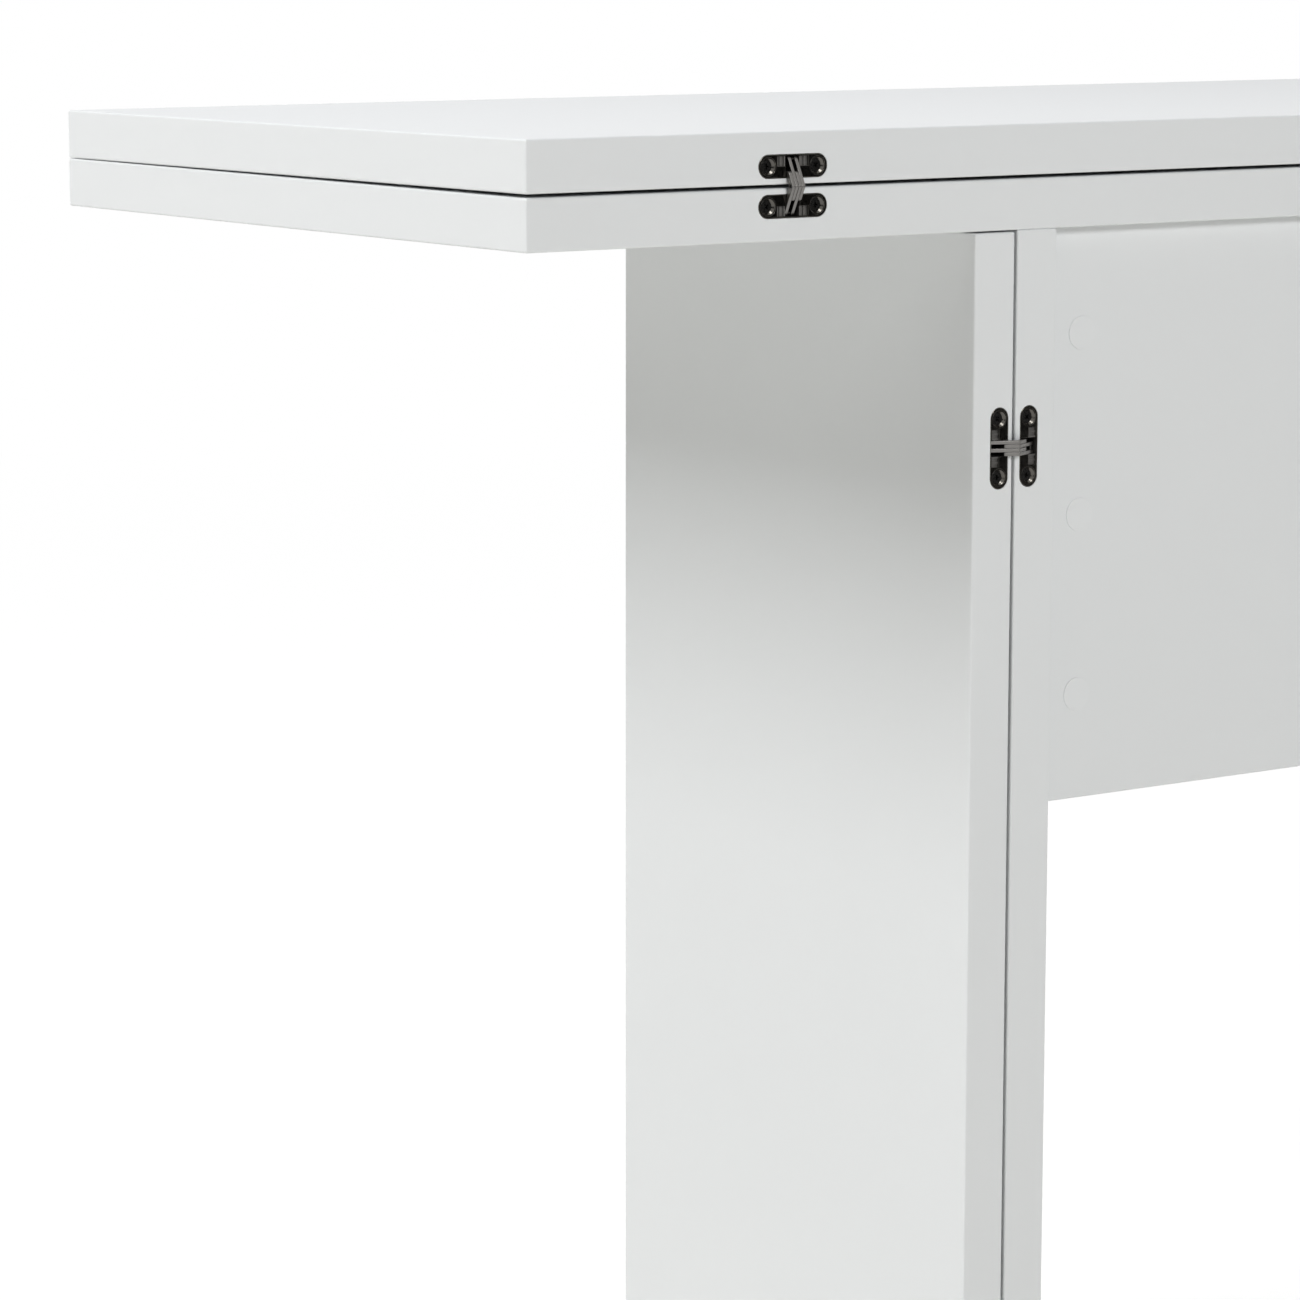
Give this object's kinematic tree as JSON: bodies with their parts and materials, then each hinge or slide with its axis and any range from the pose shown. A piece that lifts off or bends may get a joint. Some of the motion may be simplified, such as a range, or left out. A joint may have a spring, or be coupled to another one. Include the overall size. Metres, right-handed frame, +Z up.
{
  "type": "folding table",
  "caption": "White book-fold table: the upper leaf unfolds forward on concealed hinges and the outer leg panels swing out to carry it.",
  "frame": {"origin": "floor level under the middle of the folded table", "axes": "+X along the table, +Y from the hinge side to the free edge of the folded leaf, +Z up"},
  "size_m": [1.3, 0.4935, 0.78],
  "materials": {
    "white_lacquer": "white satin lacquer on fibreboard",
    "hinge_casting": "dark nickel plated casting",
    "link_steel": "stamped steel, plated",
    "dark_screw": "dark plated screw",
    "pin_steel": "turned steel",
    "cam_zinc": "die-cast zinc",
    "dowel_beech": "raw beech",
    "cap_plastic": "white moulded cap",
    "glide_plastic": "moulded glide",
    "pad_film": "soft clear pad"
  },
  "bodies": {
    "base": {"lower_leaf": "white_lacquer", "inner_leg_left": "white_lacquer", "inner_leg_right": "white_lacquer", "apron": "white_lacquer", "cam_fittings": "cam_zinc", "cam_bolts": "cam_zinc", "dowels": "dowel_beech", "cover_caps": "cap_plastic", "leaf_pads": "pad_film", "inner_leg_glides": "glide_plastic", "base_pivot_pins": "pin_steel", "base_hinge_screws": "dark_screw", "top_hinge_left_lower_housing": "hinge_casting", "top_hinge_middle_lower_housing": "hinge_casting", "top_hinge_right_lower_housing": "hinge_casting", "left_leg_hinge_upper_inner_housing": "hinge_casting", "left_leg_hinge_lower_inner_housing": "hinge_casting", "right_leg_hinge_upper_inner_housing": "hinge_casting", "right_leg_hinge_lower_inner_housing": "hinge_casting"},
    "upper_leaf": {"upper_leaf": "white_lacquer", "upper_leaf_pivot_pins": "pin_steel", "upper_leaf_hinge_screws": "dark_screw", "top_hinge_left_upper_housing": "hinge_casting", "top_hinge_middle_upper_housing": "hinge_casting", "top_hinge_right_upper_housing": "hinge_casting"},
    "left_leg": {"outer_leg_left": "white_lacquer", "outer_leg_left_glides": "glide_plastic", "outer_leg_left_pivot_pins": "pin_steel", "outer_leg_left_hinge_screws": "dark_screw", "left_leg_hinge_upper_outer_housing": "hinge_casting", "left_leg_hinge_lower_outer_housing": "hinge_casting"},
    "right_leg": {"outer_leg_right": "white_lacquer", "outer_leg_right_glides": "glide_plastic", "outer_leg_right_pivot_pins": "pin_steel", "outer_leg_right_hinge_screws": "dark_screw", "right_leg_hinge_upper_outer_housing": "hinge_casting", "right_leg_hinge_lower_outer_housing": "hinge_casting"},
    "top_lower_link_set": {"top_lower_links": "link_steel", "top_lower_slide_pins": "pin_steel", "top_lower_centre_rivets": "pin_steel"},
    "top_upper_link_set": {"top_upper_links": "link_steel", "top_upper_slide_pins": "pin_steel", "top_upper_centre_rivets": "pin_steel"},
    "left_leg_inner_link_set": {"left_leg_inner_links": "link_steel", "left_leg_inner_slide_pins": "pin_steel", "left_leg_inner_centre_rivets": "pin_steel"},
    "left_leg_outer_link_set": {"left_leg_outer_links": "link_steel", "left_leg_outer_slide_pins": "pin_steel", "left_leg_outer_centre_rivets": "pin_steel"},
    "right_leg_inner_link_set": {"right_leg_inner_links": "link_steel", "right_leg_inner_slide_pins": "pin_steel", "right_leg_inner_centre_rivets": "pin_steel"},
    "right_leg_outer_link_set": {"right_leg_outer_links": "link_steel", "right_leg_outer_slide_pins": "pin_steel", "right_leg_outer_centre_rivets": "pin_steel"}
  },
  "joints": [
    {"name": "leaf_unfold", "type": "hinge", "parent": "base", "child": "upper_leaf", "pos_m": [0, -0.2444, 0.751], "axis": [1, 0, 0], "range_deg": [0, 180.19]},
    {"name": "left_leg_swing", "type": "hinge", "parent": "base", "child": "left_leg", "pos_m": [-0.326, -0.2444, 0.36], "axis": [0, 0, 1], "range_deg": [0, 180]},
    {"name": "right_leg_swing", "type": "hinge", "parent": "base", "child": "right_leg", "pos_m": [0.326, -0.2444, 0.36], "axis": [0, 0, -1], "range_deg": [0, 180]},
    {"name": "top_lower_link_turn", "type": "hinge", "parent": "base", "child": "top_lower_link_set", "pos_m": [0, -0.2404, 0.7451], "axis": [1, 0, 0], "range_deg": [0, 103.42]},
    {"name": "top_upper_link_turn", "type": "hinge", "parent": "upper_leaf", "child": "top_upper_link_set", "pos_m": [0, -0.24038, 0.75689], "axis": [1, 0, 0], "range_deg": [-103.42, 0]},
    {"name": "left_leg_inner_link_turn", "type": "hinge", "parent": "base", "child": "left_leg_inner_link_set", "pos_m": [-0.3201, -0.2404, 0.36], "axis": [0, 0, 1], "range_deg": [0, 103.42]},
    {"name": "left_leg_outer_link_turn", "type": "hinge", "parent": "left_leg", "child": "left_leg_outer_link_set", "pos_m": [-0.3319, -0.2404, 0.36], "axis": [0, 0, 1], "range_deg": [-103.42, 0]},
    {"name": "right_leg_inner_link_turn", "type": "hinge", "parent": "base", "child": "right_leg_inner_link_set", "pos_m": [0.3201, -0.2404, 0.36], "axis": [0, 0, -1], "range_deg": [0, 103.42]},
    {"name": "right_leg_outer_link_turn", "type": "hinge", "parent": "right_leg", "child": "right_leg_outer_link_set", "pos_m": [0.3319, -0.2404, 0.36], "axis": [0, 0, -1], "range_deg": [-103.42, 0]}
  ],
  "couplings": [
    {"joint": "top_lower_link_turn", "follows": "leaf_unfold", "ratio": 0.57389},
    {"joint": "top_upper_link_turn", "follows": "leaf_unfold", "ratio": -0.57389},
    {"joint": "left_leg_inner_link_turn", "follows": "left_leg_swing", "ratio": 0.57449},
    {"joint": "left_leg_outer_link_turn", "follows": "left_leg_swing", "ratio": -0.57449},
    {"joint": "right_leg_inner_link_turn", "follows": "right_leg_swing", "ratio": 0.57449},
    {"joint": "right_leg_outer_link_turn", "follows": "right_leg_swing", "ratio": -0.57449}
  ]
}
